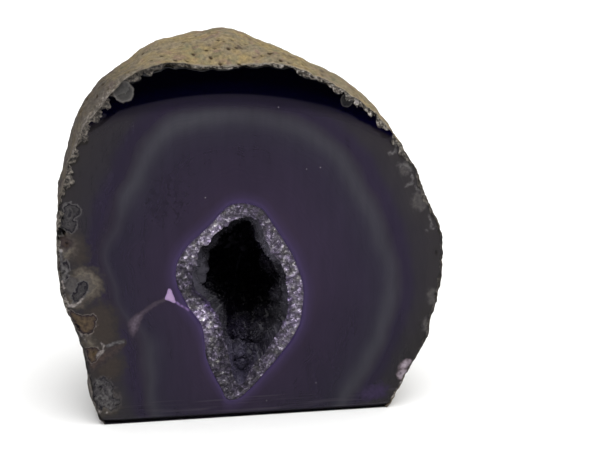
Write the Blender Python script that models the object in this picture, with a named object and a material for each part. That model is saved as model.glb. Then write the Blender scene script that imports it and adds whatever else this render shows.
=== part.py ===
"""Half of an agate geode, sawn, polished and standing by itself on a flat sawn base.

The stone is one piece: agate inside a rough rind, with a hollow in its cut face. A crust of quartz crystals
lines the hollow and was sawn and polished with the stone, so its cut edge is a ring in the face.

The cut face looks along -Y and leans back a little. +Z is up, the sawn base lies on Z = 0, and the origin
is below the middle of the object. Sections are drawn in the cut face: u runs right, v up the face from its
bottom edge, and depth runs from the face into the stone, all in millimetres.
"""

import math
import random

import bmesh
import bpy
import numpy as np
from mathutils import Vector, noise
from mathutils.bvhtree import BVHTree

MM = 0.001

# Where the cut face stands
LEAN = math.radians(5.0)
FACE_FOOT = Vector((-3.3, -33.5, 1.5))

# The stone: its outline in the cut, and its girth, which is its outline where it is widest, behind the cut
HUB = np.array((-1.0, 38.0))
BACK_POLE = np.array((-3.0, 50.0))
BACK_ROUNDING = 4
STONE_DEPTH = 62.0
RIM = (
    (45.4, 2.2), (48.0, 7.5), (50.8, 12.5), (53.4, 17.0), (55.4, 21.5), (56.0, 26.5), (57.8, 31.0), (58.9, 37.0),
    (59.7, 44.0), (59.6, 51.0), (57.9, 56.5), (55.4, 62.0), (52.8, 69.0), (49.9, 75.5), (46.2, 81.5),
    (42.0, 87.0), (38.0, 91.0), (33.3, 94.8), (28.2, 98.2), (22.8, 101.2), (17.3, 103.8), (10.5, 105.2),
    (1.0, 105.2), (-8.5, 105.0), (-17.0, 106.7), (-24.0, 106.2), (-30.5, 103.8), (-36.0, 99.6), (-39.8, 94.8),
    (-44.3, 90.2), (-47.3, 85.2), (-49.6, 79.5), (-51.6, 72.5), (-53.3, 65.0), (-54.2, 57.0), (-54.2, 49.5),
    (-53.9, 43.5), (-53.4, 38.0), (-51.9, 33.5), (-49.8, 29.0), (-48.3, 23.5), (-47.1, 17.5), (-45.9, 10.3),
    (-44.7, 2.7), (-42.8, -1.0), (-36.0, -9.0), (-20.0, -15.0), (0.0, -17.0), (20.0, -14.0), (36.0, -8.0),
    (43.6, -0.6),
)
GIRTH = (
    (45.0, 2.5), (50.5, 12.0), (55.5, 20.0), (59.5, 34.0), (60.9, 44.5), (60.0, 52.0), (55.3, 61.5),
    (49.5, 76.0), (45.0, 85.0), (33.5, 96.3), (22.0, 103.0), (10.5, 109.5), (-1.5, 113.0),
    (-13.5, 111.0), (-25.0, 109.2), (-31.5, 105.5), (-38.8, 99.8), (-43.0, 94.0), (-46.5, 87.0),
    (-51.0, 73.5), (-54.0, 64.5), (-54.6, 54.5), (-54.0, 45.0), (-52.8, 35.0), (-49.0, 24.5),
    (-47.0, 14.0), (-45.0, 3.5), (-38.0, -9.0), (-20.0, -15.5), (0.0, -17.5), (20.0, -14.5), (38.0, -7.0),
)
GIRTH_DEPTH_AT_SIDES = 5.0
GIRTH_DEPTH_AT_TOP = 18.0
GIRTH_TOP_ANGLE = math.radians(90.0)

# The outside of the rind: lumps of three sizes and knobs, each (height, width), and dents, each (u, v,
# depth, radius, how deep it is)
LUMPS = ((1.8, 27.0), (0.8, 11.0), (0.3, 6.0))
RIND_KNOBS = (1.4, 15.0)
DENTS = (
    (-52.0, 60.0, 26.0, 12.0, 2.5), (15.0, 80.0, 52.0, 15.0, 3.0), (56.0, 38.0, 26.0, 12.0, 2.2),
    (-24.0, 22.0, 56.0, 13.0, 2.6), (-22.0, 104.0, 34.0, 9.0, 1.8), (-54.0, 40.0, 18.0, 11.0, 1.8),
    (49.0, 6.0, 16.0, 11.0, 2.0), (-35.0, 105.0, 18.0, 9.0, 1.6),
)
LUMPS_START = 9.0

# The polished face: nearly flat, rounded over towards the top and at its edge, with a ground strip below
ROUND_OVER_CENTRE = (-7.0, 0.0)
ROUND_OVER_START = 93.5
ROUND_OVER_RADIUS = 59.0
EDGE_ROUNDING_WIDTH = 5.0
EDGE_ROUNDING = 0.4
FOOT_STRIP = 4.8
FOOT_STRIP_ANGLE = math.radians(6.0)

# The hollow
HOLLOW = (
    (17.6, 36.5), (17.1, 40.4), (15.9, 44.4), (14.4, 48.3), (12.2, 52.2), (10.1, 55.7), (7.9, 59.3),
    (5.8, 62.4), (2.8, 64.0), (-0.8, 64.7), (-4.1, 64.0), (-6.3, 62.2), (-9.0, 59.3), (-12.0, 56.5),
    (-15.0, 53.9), (-17.6, 51.0), (-19.5, 47.7), (-20.1, 44.3), (-19.9, 41.2), (-18.7, 38.1),
    (-17.3, 35.0), (-15.6, 32.2), (-13.4, 29.0), (-12.4, 25.4), (-12.1, 21.9), (-11.8, 18.0),
    (-10.4, 14.0), (-8.7, 10.3), (-7.2, 7.1), (-6.3, 4.8), (-4.4, 4.1), (-2.0, 4.8), (0.7, 7.0),
    (3.0, 9.2), (5.6, 12.2), (8.7, 15.6), (11.4, 19.0), (14.1, 22.7), (16.4, 27.3), (17.2, 31.9),
)
HOLLOW_DEPTH = 40.0
HOLLOW_POLE = np.array((2.0, 42.0))
HOLLOW_BLUNTNESS = 0.7

# The crystal crust
CRUST_GAP = 0.4
CRUST_EDGE = (
    (13.5, 37.5), (12.8, 40.7), (11.8, 44.6), (10.3, 47.7), (8.5, 51.6), (6.4, 54.8), (5.0, 58.6),
    (2.8, 59.9), (-2.0, 60.0), (-4.6, 58.7), (-7.2, 56.6), (-9.9, 54.1), (-12.9, 51.2), (-13.6, 49.3),
    (-14.3, 46.7), (-15.1, 43.1), (-14.6, 39.4), (-12.5, 37.4), (-10.3, 35.0), (-8.5, 31.0),
    (-7.1, 27.4), (-5.9, 21.5), (-4.8, 16.1), (-3.7, 11.0), (-2.2, 8.3), (-0.4, 10.6), (1.9, 14.0),
    (4.6, 17.4), (7.3, 21.5), (10.0, 25.3), (11.9, 29.1), (13.1, 32.9),
)
CRUST_DEPTH = 35.0
CRUST_POLE = np.array((2.0, 41.0))
CRUST_KNOBS = (2.6, 8.0)
KNOB_ROOM = 0.15
CRYSTAL_HEIGHT = 2.6
CRYSTAL_SLENDERNESS = 0.6
CRYSTAL_ROOM = 0.25
CRYSTAL_SHIFT = 0.22
CRYSTAL_SEED = 7

# Mesh steps
SIDES = 80
CURVE_STEPS = 12
FACE_STEPS = (0.0, 0.3, 0.6, 0.82, 0.93, 1.0)
RIND_RINGS = 23
HOLLOW_RINGS = 8
CRYSTAL_ROWS = 12
WIDER_CRYSTALS_FROM = 6
POLE_CLEARANCE = math.radians(12.0)
ANGLES = np.arange(SIDES) * 2 * math.pi / SIDES
SHARP_EDGE = math.radians(35.0)
SAW_SNAP = 0.4
AGATE, RIND = 0, 1
SAWN, GROWN = 0, 1

RIND_COLOUR = (0.25, 0.19, 0.12, 1.0)
AGATE_COLOUR = (0.035, 0.026, 0.05, 1.0)
SAWN_QUARTZ_COLOUR = (0.22, 0.21, 0.24, 1.0)
CRYSTAL_COLOUR = (0.05, 0.035, 0.075, 1.0)


def smooth_step(value):
    t = min(1.0, max(0.0, value))
    return t * t * (3 - 2 * t)


def smooth_outline(points):
    """A dense closed curve through the points, with no corners."""
    p = np.array(points)
    before, after, beyond = (np.roll(p, shift, axis=0) for shift in (1, -1, -2))
    curve = []
    for i in range(len(p)):
        for t in np.arange(CURVE_STEPS) / CURVE_STEPS:
            curve.append(
                0.5 * (2 * p[i] + (after[i] - before[i]) * t
                       + (2 * before[i] - 5 * p[i] + 4 * after[i] - beyond[i]) * t ** 2
                       + (3 * p[i] - before[i] - 3 * after[i] + beyond[i]) * t ** 3)
            )
    return np.array(curve)


def reach(outline, inset=0.0):
    """The distance from the hub to a smooth outline, moved in by the inset, at each of the mesh's angles."""
    curve = smooth_outline(outline)
    along = np.roll(curve, -1, axis=0) - np.roll(curve, 1, axis=0)
    inward = np.column_stack((-along[:, 1], along[:, 0])) / np.hypot(along[:, 0], along[:, 1])[:, None]
    spokes = curve + inward * inset - HUB
    angles = np.arctan2(spokes[:, 1], spokes[:, 0])
    return np.interp(ANGLES, angles, np.hypot(spokes[:, 0], spokes[:, 1]), period=2 * math.pi)


def in_face(angle, radius, centre=HUB):
    return centre + radius * np.array((math.cos(angle), math.sin(angle)))


def face_depth(u, v, from_edge):
    """How far the polished surface lies behind the flat of the cut."""
    beyond = math.hypot(u - ROUND_OVER_CENTRE[0], v - ROUND_OVER_CENTRE[1]) - ROUND_OVER_START
    depth = max(0.0, beyond) ** 2 / (2 * ROUND_OVER_RADIUS)
    depth += EDGE_ROUNDING * max(0.0, 1 - from_edge / EDGE_ROUNDING_WIDTH) ** 2
    return depth + math.tan(FOOT_STRIP_ANGLE) * max(0.0, FOOT_STRIP - v)


def world(u, v, depth):
    """The place of a point of the cut face's frame, in metres."""
    across = Vector((u, v * math.sin(LEAN), v * math.cos(LEAN)))
    inward = Vector((0.0, depth * math.cos(LEAN), -depth * math.sin(LEAN)))
    return (FACE_FOOT + across + inward) * MM


def girth_depth(angle):
    towards_top = max(0.0, math.cos(angle - GIRTH_TOP_ANGLE)) ** 1.6
    return GIRTH_DEPTH_AT_SIDES + (GIRTH_DEPTH_AT_TOP - GIRTH_DEPTH_AT_SIDES) * towards_top


def weathered(point):
    """A point of the rind, moved out or in by the lumps, knobs and dents of unworked stone."""
    rise = sum(height * noise.noise(point / width) for height, width in LUMPS)
    height, width = RIND_KNOBS
    rise += height * (0.3 - noise.voronoi(point / width)[0][0] ** 2)
    for u, v, depth, radius, dent in DENTS:
        rise -= dent * smooth_step(1.3 - (point - Vector((u, v, depth))).length / radius)
    heart = Vector((HUB[0], BACK_POLE[1], STONE_DEPTH / 3))
    return point + (point - heart).normalized() * rise * smooth_step(point.z / LUMPS_START)


def rind_ring(share, rim_reach, girth_reach):
    """One ring of the rind. share runs from 0 at the rim to 1 at the back."""
    ring = []
    neighbours = range(-BACK_ROUNDING, BACK_ROUNDING + 1)
    rounder_reach = np.mean([np.roll(girth_reach, step) for step in neighbours], axis=0)
    for angle, rim, girth, rounder in zip(ANGLES, rim_reach, girth_reach, rounder_reach):
        widest = girth_depth(angle)
        half = STONE_DEPTH - widest
        start = -math.asin(widest / half)
        turn = start + share * (math.pi / 2 - start)
        close = math.cos(turn)
        if turn < 0:
            centre = HUB
            radius = rim + (girth - rim) * (close - math.cos(start)) / (1 - math.cos(start))
        else:
            centre = HUB + (BACK_POLE - HUB) * (1 - close)
            radius = (girth + (rounder - girth) * min(1.0, 2 * (1 - close))) * close
        u, v = in_face(angle, radius, centre)
        ring.append(weathered(Vector((u, v, widest + half * math.sin(turn)))))
    return ring


def bowl_ring(turn, radii, depth, pole, bluntness):
    """One ring of a bowl that starts square to the face and closes at its pole."""
    close = math.cos(turn) ** bluntness
    centre = HUB + (pole - HUB) * (1 - close)
    flat = (in_face(angle, radius * close, centre) for angle, radius in zip(ANGLES, radii))
    return [Vector((u, v, depth * math.sin(turn))) for u, v in flat]


def add_ring(bm, ring):
    return [bm.verts.new(world(*point)) for point in ring]


def bridge(bm, ring, following, material=0):
    """Faces between two rings of the same number of points."""
    for i in range(len(ring)):
        j = (i + 1) % len(ring)
        bm.faces.new((ring[i], ring[j], following[j], following[i])).material_index = material


def close_ring(bm, ring, middle, material=0):
    """A fan of faces from a ring to one point."""
    tip = bm.verts.new(world(*middle))
    for i in range(len(ring)):
        bm.faces.new((ring[i], ring[(i + 1) % len(ring)], tip)).material_index = material


def saw_base(bm):
    """Cuts the stone flat along Z = 0 and closes the cut."""
    everything = bm.verts[:] + bm.edges[:] + bm.faces[:]
    cut = bmesh.ops.bisect_plane(
        bm, geom=everything, dist=SAW_SNAP * MM, plane_co=(0, 0, 0), plane_no=(0, 0, -1), clear_outer=True
    )["geom_cut"]
    for vert in [part for part in cut if isinstance(part, bmesh.types.BMVert)]:
        vert.co.z = 0.0
    outline = [part for part in cut if isinstance(part, bmesh.types.BMEdge)]
    base = bmesh.ops.triangle_fill(bm, edges=outline, use_beauty=True)["geom"]
    for face in [part for part in base if isinstance(part, bmesh.types.BMFace)]:
        face.material_index = RIND


def material_of(name, colour, roughness):
    material = bpy.data.materials.new(name)
    material.use_nodes = True
    shader = material.node_tree.nodes["Principled BSDF"]
    shader.inputs["Base Color"].default_value = colour
    shader.inputs["Roughness"].default_value = roughness
    return material


def finish(bm, name, collection, materials):
    bmesh.ops.recalc_face_normals(bm, faces=bm.faces[:])
    mesh = bpy.data.meshes.new(name)
    bm.to_mesh(mesh)
    bm.free()
    for material in materials:
        mesh.materials.append(material)
    mesh.shade_smooth()
    mesh.set_sharp_from_angle(angle=SHARP_EDGE)
    collection.objects.link(bpy.data.objects.new(name, mesh))


def make_stone(collection):
    """Agate with its rind: the polished face, the rough outside and the hollow, sawn flat below."""
    bm = bmesh.new()
    rim_reach, girth_reach, hollow_reach = reach(RIM), reach(GIRTH), reach(HOLLOW)
    rings = []
    for step in FACE_STEPS:
        ring = []
        for angle, inner, outer in zip(ANGLES, hollow_reach, rim_reach):
            radius = inner + (outer - inner) * step
            u, v = in_face(angle, radius)
            ring.append(Vector((u, v, face_depth(u, v, outer - radius))))
        rings.append(add_ring(bm, ring))
    for ring, following in zip(rings, rings[1:]):
        bridge(bm, ring, following, AGATE)

    opening = rings[0]
    last = rings[-1]
    for i in range(1, RIND_RINGS):
        following = add_ring(bm, rind_ring(i / RIND_RINGS, rim_reach, girth_reach))
        bridge(bm, last, following, RIND)
        last = following
    close_ring(bm, last, (*BACK_POLE, STONE_DEPTH), RIND)

    last = opening
    for i in range(1, HOLLOW_RINGS):
        turn = i / HOLLOW_RINGS * math.pi / 2
        ring = bowl_ring(turn, hollow_reach, HOLLOW_DEPTH, HOLLOW_POLE, HOLLOW_BLUNTNESS)
        following = add_ring(bm, ring)
        bridge(bm, last, following, AGATE)
        last = following
    close_ring(bm, last, (*HOLLOW_POLE, HOLLOW_DEPTH), AGATE)
    saw_base(bm)
    finish(bm, "stone", collection, (
        material_of("polished agate", AGATE_COLOUR, 0.08),
        material_of("rough rind", RIND_COLOUR, 0.85),
    ))


def crystal_rows(edge_reach, rng):
    """Rings of points on the knobbly inside of the crust, between which rows of crystals stand."""
    rows = []
    height, width = CRUST_KNOBS
    for i in range(1, CRYSTAL_ROWS + 1):
        turn = i / CRYSTAL_ROWS * (math.pi / 2 - POLE_CLEARANCE)
        ring = bowl_ring(turn, edge_reach, CRUST_DEPTH, CRUST_POLE, HOLLOW_BLUNTNESS)
        if i >= WIDER_CRYSTALS_FROM:
            ring = ring[::2]
        row = []
        for number, point in enumerate(ring):
            inward = Vector((CRUST_POLE[0] - point.x, CRUST_POLE[1] - point.y, -0.4 * point.z))
            knob = height * max(0.0, 1 - noise.voronoi(point / width)[0][0])
            shift = (ring[number - 1] - point) * rng.uniform(-CRYSTAL_SHIFT, CRYSTAL_SHIFT)
            shift.z += rng.uniform(-CRYSTAL_SHIFT, CRYSTAL_SHIFT) * math.cos(turn)
            row.append(point + shift + inward.normalized() * min(knob, KNOB_ROOM * inward.length))
        rows.append(row)
    return rows


def grow_crystals(bm, rows, rng):
    """Pointed crystals with flat sides, laid like bricks. Each stands on two steps of its row."""
    cells = []
    for number, (near, far) in enumerate(zip(rows, rows[1:])):
        wider = len(near) // len(far)
        for first in range(number % 2, len(far), 2):
            here = [near[step % len(near)] for step in range(first * wider, (first + 2) * wider + 1)]
            beyond = [far[step % len(far)] for step in range(first + 2, first - 1, -1)]
            cells.append(bm.faces.new(here + beyond))
    bm.normal_update()
    walls = BVHTree.FromBMesh(bm)
    for cell in cells:
        cell.material_index = GROWN
        width = math.sqrt(cell.calc_area())
        start = cell.calc_center_median() + cell.normal * 0.2 * MM
        room = walls.ray_cast(start, cell.normal)[3] or math.inf
        height = min(CRYSTAL_HEIGHT * MM, CRYSTAL_SLENDERNESS * width, CRYSTAL_ROOM * room)
        height *= rng.uniform(0.3, 1.0)
        lean = Vector(rng.uniform(-0.3, 0.3) for _ in range(3)) * min(width, height)
        tip = bmesh.ops.poke(bm, faces=[cell], offset=height)["verts"][0]
        tip.co += lean


def make_crust(collection):
    """The quartz lining: a bowl that follows the hollow, with crystals all over its inside."""
    bm = bmesh.new()
    rng = random.Random(CRYSTAL_SEED)
    outer_reach, edge_reach = reach(HOLLOW, CRUST_GAP), reach(CRUST_EDGE)
    fronts = []
    for radii in (edge_reach, outer_reach):
        flat = [in_face(angle, radius) for angle, radius in zip(ANGLES, radii)]
        fronts.append(add_ring(bm, [Vector((u, v, face_depth(u, v, math.inf))) for u, v in flat]))
    edge, last = fronts
    bridge(bm, edge, last)

    depth = HOLLOW_DEPTH - CRUST_GAP
    for i in range(1, HOLLOW_RINGS):
        turn = i / HOLLOW_RINGS * math.pi / 2
        following = add_ring(bm, bowl_ring(turn, outer_reach, depth, HOLLOW_POLE, HOLLOW_BLUNTNESS))
        bridge(bm, last, following)
        last = following
    close_ring(bm, last, (*HOLLOW_POLE, depth))

    rows = [edge] + [add_ring(bm, row) for row in crystal_rows(edge_reach, rng)]
    close_ring(bm, rows[-1], (*CRUST_POLE, CRUST_DEPTH - CRYSTAL_HEIGHT), GROWN)
    grow_crystals(bm, rows, rng)
    finish(bm, "quartz_crust", collection, (
        material_of("sawn quartz", SAWN_QUARTZ_COLOUR, 0.3),
        material_of("quartz crystals", CRYSTAL_COLOUR, 0.2),
    ))


for item in list(bpy.data.objects):
    bpy.data.objects.remove(item, do_unlink=True)
geode = bpy.data.collections.new("geode half")
bpy.context.scene.collection.children.link(geode)
make_stone(geode)
make_crust(geode)
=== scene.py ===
"""Looks of half an agate geode: dyed agate with a polished face, a rough rind, and a hollow lined with quartz."""

import math
import random
from functools import partial

import bmesh
import bpy
import numpy as np
from mathutils import Matrix, Vector, noise


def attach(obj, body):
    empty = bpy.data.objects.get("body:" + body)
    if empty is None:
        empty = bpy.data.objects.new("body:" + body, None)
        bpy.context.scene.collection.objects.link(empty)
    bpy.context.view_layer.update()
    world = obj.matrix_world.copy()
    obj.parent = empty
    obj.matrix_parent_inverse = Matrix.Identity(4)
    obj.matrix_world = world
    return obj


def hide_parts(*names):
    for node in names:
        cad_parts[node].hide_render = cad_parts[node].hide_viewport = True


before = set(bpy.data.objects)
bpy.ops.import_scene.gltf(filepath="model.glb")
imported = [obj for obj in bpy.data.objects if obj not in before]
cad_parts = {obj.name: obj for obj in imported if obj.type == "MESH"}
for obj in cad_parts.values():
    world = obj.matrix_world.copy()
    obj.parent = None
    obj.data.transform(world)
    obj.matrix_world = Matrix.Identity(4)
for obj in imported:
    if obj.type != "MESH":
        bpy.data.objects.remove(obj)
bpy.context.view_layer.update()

# The view. The picture was taken from about 60 cm, a little to the left of the middle and 20 degrees above the
# table, with a long lens. The sawn face leans back by 5 degrees, and FACE_FOOT is the middle of its bottom edge.
MM = 0.001
LEAN = math.radians(5.0)
FACE_FOOT = Vector((-3.3, -33.5, 1.5))
VIEW_AZIMUTH = math.radians(-8.0)
VIEW_ELEVATION = math.radians(20.0)
VIEW_DISTANCE = 600.0
AIM_RIGHT_OF_FOOT = 15.9
AIM_ABOVE_FOOT = 56.13
LENS = 120.0
SENSOR = 36.0

towards_camera = Vector((
    math.sin(VIEW_AZIMUTH) * math.cos(VIEW_ELEVATION),
    -math.cos(VIEW_AZIMUTH) * math.cos(VIEW_ELEVATION),
    math.sin(VIEW_ELEVATION),
))
view_right = Vector((math.cos(VIEW_AZIMUTH), math.sin(VIEW_AZIMUTH), 0.0))
view_up = towards_camera.cross(view_right)
aim = FACE_FOOT + view_right * AIM_RIGHT_OF_FOOT + view_up * AIM_ABOVE_FOOT


def put_in_scene(name, data):
    """A new object with this data, linked to the scene."""
    made = bpy.data.objects.new(name, data)
    bpy.context.scene.collection.objects.link(made)
    return made


camera = put_in_scene("camera", bpy.data.cameras.new("camera"))
camera.data.lens = LENS
camera.data.sensor_width = SENSOR
camera.data.clip_start = 0.01
camera.matrix_world = (
    Matrix.Translation((aim + towards_camera * VIEW_DISTANCE) * MM)
    @ Matrix((view_right, view_up, towards_camera)).transposed().to_4x4()
)
bpy.context.scene.camera = camera
bpy.context.scene.view_settings.view_transform = "Standard"


# The table: a pale matt sweep of paper that is flat under the stone and rises far away on all sides. Gloss on the
# stone doesn't mirror it, because the real face mirrors a dimmer room than the lit paper.
def linear(colour):
    """The linear colour that shaders take, from an sRGB hex colour, or one number for a grey. A tuple is linear."""
    if isinstance(colour, str):
        parts = (int(colour[i:i + 2], 16) / 255 for i in (1, 3, 5))
        return (*(p / 12.92 if p <= 0.04045 else ((p + 0.055) / 1.055) ** 2.4 for p in parts), 1.0)
    return (colour, colour, colour, 1.0) if isinstance(colour, (int, float)) else colour


def connect(node, inputs):
    """Gives inputs their values or links. Each goes by its name, or by its number among the live ones."""
    live = [socket for socket in node.inputs if socket.enabled]
    for key, value in inputs.items():
        socket = live[key] if isinstance(key, int) else node.inputs[key]
        if isinstance(value, bpy.types.Node):
            value = next(output for output in value.outputs if output.enabled)
        if isinstance(value, bpy.types.NodeSocket):
            node.id_data.links.new(value, socket)
        else:
            socket.default_value = linear(value) if isinstance(value, str) else value


def add_node(tree, kind, *inputs, **named):
    """Adds one node. Its live inputs come in order, or by name with a capital, and the other names are settings."""
    made = tree.nodes.new("ShaderNode" + kind)
    if kind == "Mix":
        made.data_type = "RGBA"
    for name, value in named.items():
        if name == "stops":
            ramp = made.color_ramp.elements
            ramp.remove(ramp[1])
            for place, colour in value:
                ramp.new(place).color = linear(colour)
            ramp.remove(ramp[0])
        elif name.islower():
            setattr(made, name, value)
    connect(made, {**dict(enumerate(inputs)), **{name: value for name, value in named.items() if not name.islower()}})
    return made


def spots(add, place, size, low, high, least=0, most=1, **named):
    """Noise with spots of this size in mm, whose values from low to high are spread from least to most."""
    return add("MapRange", add("TexNoise", Vector=place, Scale=1 / size, **named), low, high, least, most)


def new_material(name):
    """A material, the function that adds nodes to it, and its one shader."""
    material = bpy.data.materials.new(name)
    material.use_nodes = True
    return material, partial(add_node, material.node_tree), material.node_tree.nodes["Principled BSDF"]


PAPER_PROFILE = ((900, 0), (1800, 0), (2300, 60), (2700, 240), (3000, 560), (3200, 1000), (3300, 1500))
PAPER_SIDES = 96
paper_mesh = bpy.data.meshes.new("paper sweep")
paper_points = [(0.0, 0.0, 0.0)]
paper_faces = []
for radius, height in PAPER_PROFILE:
    for step in range(PAPER_SIDES):
        turn = step * 2 * math.pi / PAPER_SIDES
        paper_points.append((radius * MM * math.cos(turn), radius * MM * math.sin(turn), height * MM))
for step in range(PAPER_SIDES):
    after = (step + 1) % PAPER_SIDES
    paper_faces.append((0, 1 + step, 1 + after))
    for row in range(len(PAPER_PROFILE) - 1):
        low, high = 1 + row * PAPER_SIDES, 1 + (row + 1) * PAPER_SIDES
        paper_faces.append((low + step, high + step, high + after, low + after))
paper_mesh.from_pydata(paper_points, [], paper_faces)
paper_mesh.shade_smooth()
paper = put_in_scene("paper_sweep", paper_mesh)
paper.visible_glossy = False
# Matt paper: no gloss, and a cloudiness that is hardly seen
matt_paper, add, shader = new_material("matt white paper")
clouds = add("TexNoise", Scale=9)
tint = add("ValToRGB", clouds, stops=((0.3, "#f4f4f3"), (0.7, "#f8f8f7")))
connect(shader, {"Base Color": tint, "Roughness": 0.95, "Specular IOR Level": 0.1})
paper_mesh.materials.append(matt_paper)

# The light: one very soft lamp high above, and the room. Seen in the polish, the table side of the room is dim, the
# room itself is dark up to about 25 degrees, and the ceiling is bright. Its edge is the arc across the face's top.
lamp = put_in_scene("softbox", bpy.data.lights.new("softbox", "SUN"))
lamp.data.energy = 3.3
lamp.data.angle = math.radians(90.0)
lamp.visible_glossy = False
lamp.matrix_world = Vector((0.22, -0.12, 1.0)).to_track_quat("Z", "Y").to_matrix().to_4x4()
room = bpy.data.worlds.new("room")
bpy.context.scene.world = room
room.use_nodes = True
room.node_tree.nodes.clear()
add = partial(add_node, room.node_tree)
direction = add("TexCoord").outputs["Generated"]
steepness = add("SeparateXYZ", direction).outputs["Z"]
height = add("MapRange", steepness, -1, 1)
room_colours = add("ValToRGB", height, stops=(
    (0, (0.20, 0.19, 0.24, 1)), (0.35, (0.21, 0.20, 0.26, 1)), (0.40, (0.25, 0.225, 0.32, 1)),
    (0.506, (0.25, 0.225, 0.32, 1)), (0.511, (0.006, 0.005, 0.02, 1)), (0.80, (0.004, 0.004, 0.008, 1)),
    (0.88, (0.6, 0.6, 0.62, 1)), (1, (0.8, 0.8, 0.8, 1)),
))
glow = add("Background", Color=room_colours, Strength=1)
add("OutputWorld", Surface=glow)


# The stone: one lump of agate in its own rind, sawn across its hollow and flat below, then ground and polished.
# Its surface is laid out in the face's own directions: u right, v up from the bottom edge, and depth into the stone.
# Towards the back, the outline is rounded off over BACK_ROUNDING steps to each side.
HUB = np.array((-1.0, 38.0))
BACK_POLE = np.array((-3.0, 50.0))
BACK_ROUNDING = 28
STONE_DEPTH = 62.0
# Outlines through points (u, v): the rim of the face, the stone at its widest, and the hollow in the face
RIM = (
    (45.4, 2.2), (48, 7.5), (50.8, 12.5), (53.4, 17), (55.4, 21.5), (56, 26.5), (57.8, 31), (58.9, 37),
    (59.7, 44), (59.6, 51), (57.9, 56.5), (55.4, 62), (52.8, 69), (49.9, 75.5), (46.2, 81.5),
    (42, 87), (38, 91), (33.3, 94.8), (28.2, 98.2), (22.8, 101.2), (17.3, 103.8), (10.5, 105.2),
    (1, 105.2), (-8.5, 105), (-17, 106.7), (-24, 106.2), (-30.5, 103.8), (-36, 99.6), (-39.8, 94.8),
    (-44.3, 90.2), (-47.3, 85.2), (-49.6, 79.5), (-51.6, 72.5), (-53.3, 65), (-54.2, 57), (-54.2, 49.5),
    (-53.9, 43.5), (-53.4, 38), (-51.9, 33.5), (-49.8, 29), (-48.3, 23.5), (-47.1, 17.5), (-45.9, 10.3),
    (-44.7, 2.7), (-42.8, -1), (-36, -9), (-20, -15), (0, -17), (20, -14), (36, -8),
    (43.6, -0.6),
)
GIRTH = (
    (45, 2.5), (50.5, 12), (55.5, 20), (59.5, 34), (60.9, 44.5), (60, 52), (55.3, 61.5),
    (49.5, 76), (45, 85), (33.5, 96.3), (22, 103), (10.5, 109.5), (-1.5, 113),
    (-13.5, 111), (-25, 109.2), (-31.5, 105.5), (-38.8, 99.8), (-43, 94), (-46.5, 87),
    (-51, 73.5), (-54, 64.5), (-54.6, 54.5), (-54, 45), (-52.8, 35), (-49, 24.5),
    (-47, 14), (-45, 3.5), (-38, -9), (-20, -15.5), (0, -17.5), (20, -14.5), (38, -7),
)
HOLLOW = (
    (17.6, 36.5), (17.1, 40.4), (15.9, 44.4), (14.4, 48.3), (12.2, 52.2), (10.1, 55.7), (7.9, 59.3),
    (5.8, 62.4), (2.8, 64), (-0.8, 64.7), (-4.1, 64), (-6.3, 62.2), (-9, 59.3), (-12, 56.5),
    (-15, 53.9), (-17.6, 51), (-19.5, 47.7), (-20.1, 44.3), (-19.9, 41.2), (-18.7, 38.1),
    (-17.3, 35), (-15.6, 32.2), (-13.4, 29), (-12.4, 25.4), (-12.1, 21.9), (-11.8, 18),
    (-10.4, 14), (-8.7, 10.3), (-7.2, 7.1), (-6.3, 4.8), (-4.4, 4.1), (-2, 4.8), (0.7, 7),
    (3, 9.2), (5.6, 12.2), (8.7, 15.6), (11.4, 19), (14.1, 22.7), (16.4, 27.3), (17.2, 31.9),
)
# The grey band of the agate, all round the hollow
GREY_BAND = (
    (44, 37.5), (43.1, 44.6), (40.9, 51.6), (38.7, 57.6), (36, 63.4), (32.8, 70.2), (28.6, 77), (22.8, 82.6),
    (13.6, 87.3), (3, 90.3), (-8, 90.8), (-16, 89.9), (-22.6, 86.4), (-27.6, 79.9), (-30.8, 72.9), (-34, 67.6),
    (-35.9, 61.4), (-38.3, 56.4), (-40.2, 52.6), (-40.3, 49.2), (-39.2, 45), (-37.9, 41), (-37, 35.5),
    (-34.4, 31), (-30.8, 28), (-28.8, 23.6), (-28.5, 18.2), (-28.4, 11.9), (-28.1, 4), (-22, -8),
    (0, -11), (22, -7), (30.4, 4.2), (35.2, 11.6), (39.4, 19.6), (42, 27.4), (43.4, 33),
)
# The agate by its direction from the hub: (degrees, how strong that band is, how wide in mm, how light the agate is)
AGATE_TONES = (
    (-180, 0.3, 0.9, 0.92), (-168, 0.28, 1, 0.95), (-158, 0.3, 1.4, 0.95), (-148, 0.6, 2.6, 0.95),
    (-130, 0.6, 2.6, 0.95), (-90, 0.4, 2, 0.92), (-45, 0.75, 2.8, 0.82), (-22, 0.8, 2.8, 0.84), (-6, 0.78, 2.8, 1),
    (2, 0.62, 3, 1.03), (18, 0.72, 2.9, 1.03), (34, 0.8, 2.8, 1.12), (50, 0.92, 2.8, 1.07), (66, 0.84, 3, 1.04),
    (84, 0.65, 3.3, 0.88), (98, 0.97, 3.3, 0.93), (112, 1.05, 3.2, 0.92), (122, 0.8, 3.2, 0.86), (131, 0.97, 2.6, 0.86),
    (138, 0.85, 2.4, 0.92), (146, 0.42, 1.5, 0.9), (162, 0.38, 1, 0.86), (180, 0.3, 0.9, 0.92),
)
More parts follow.
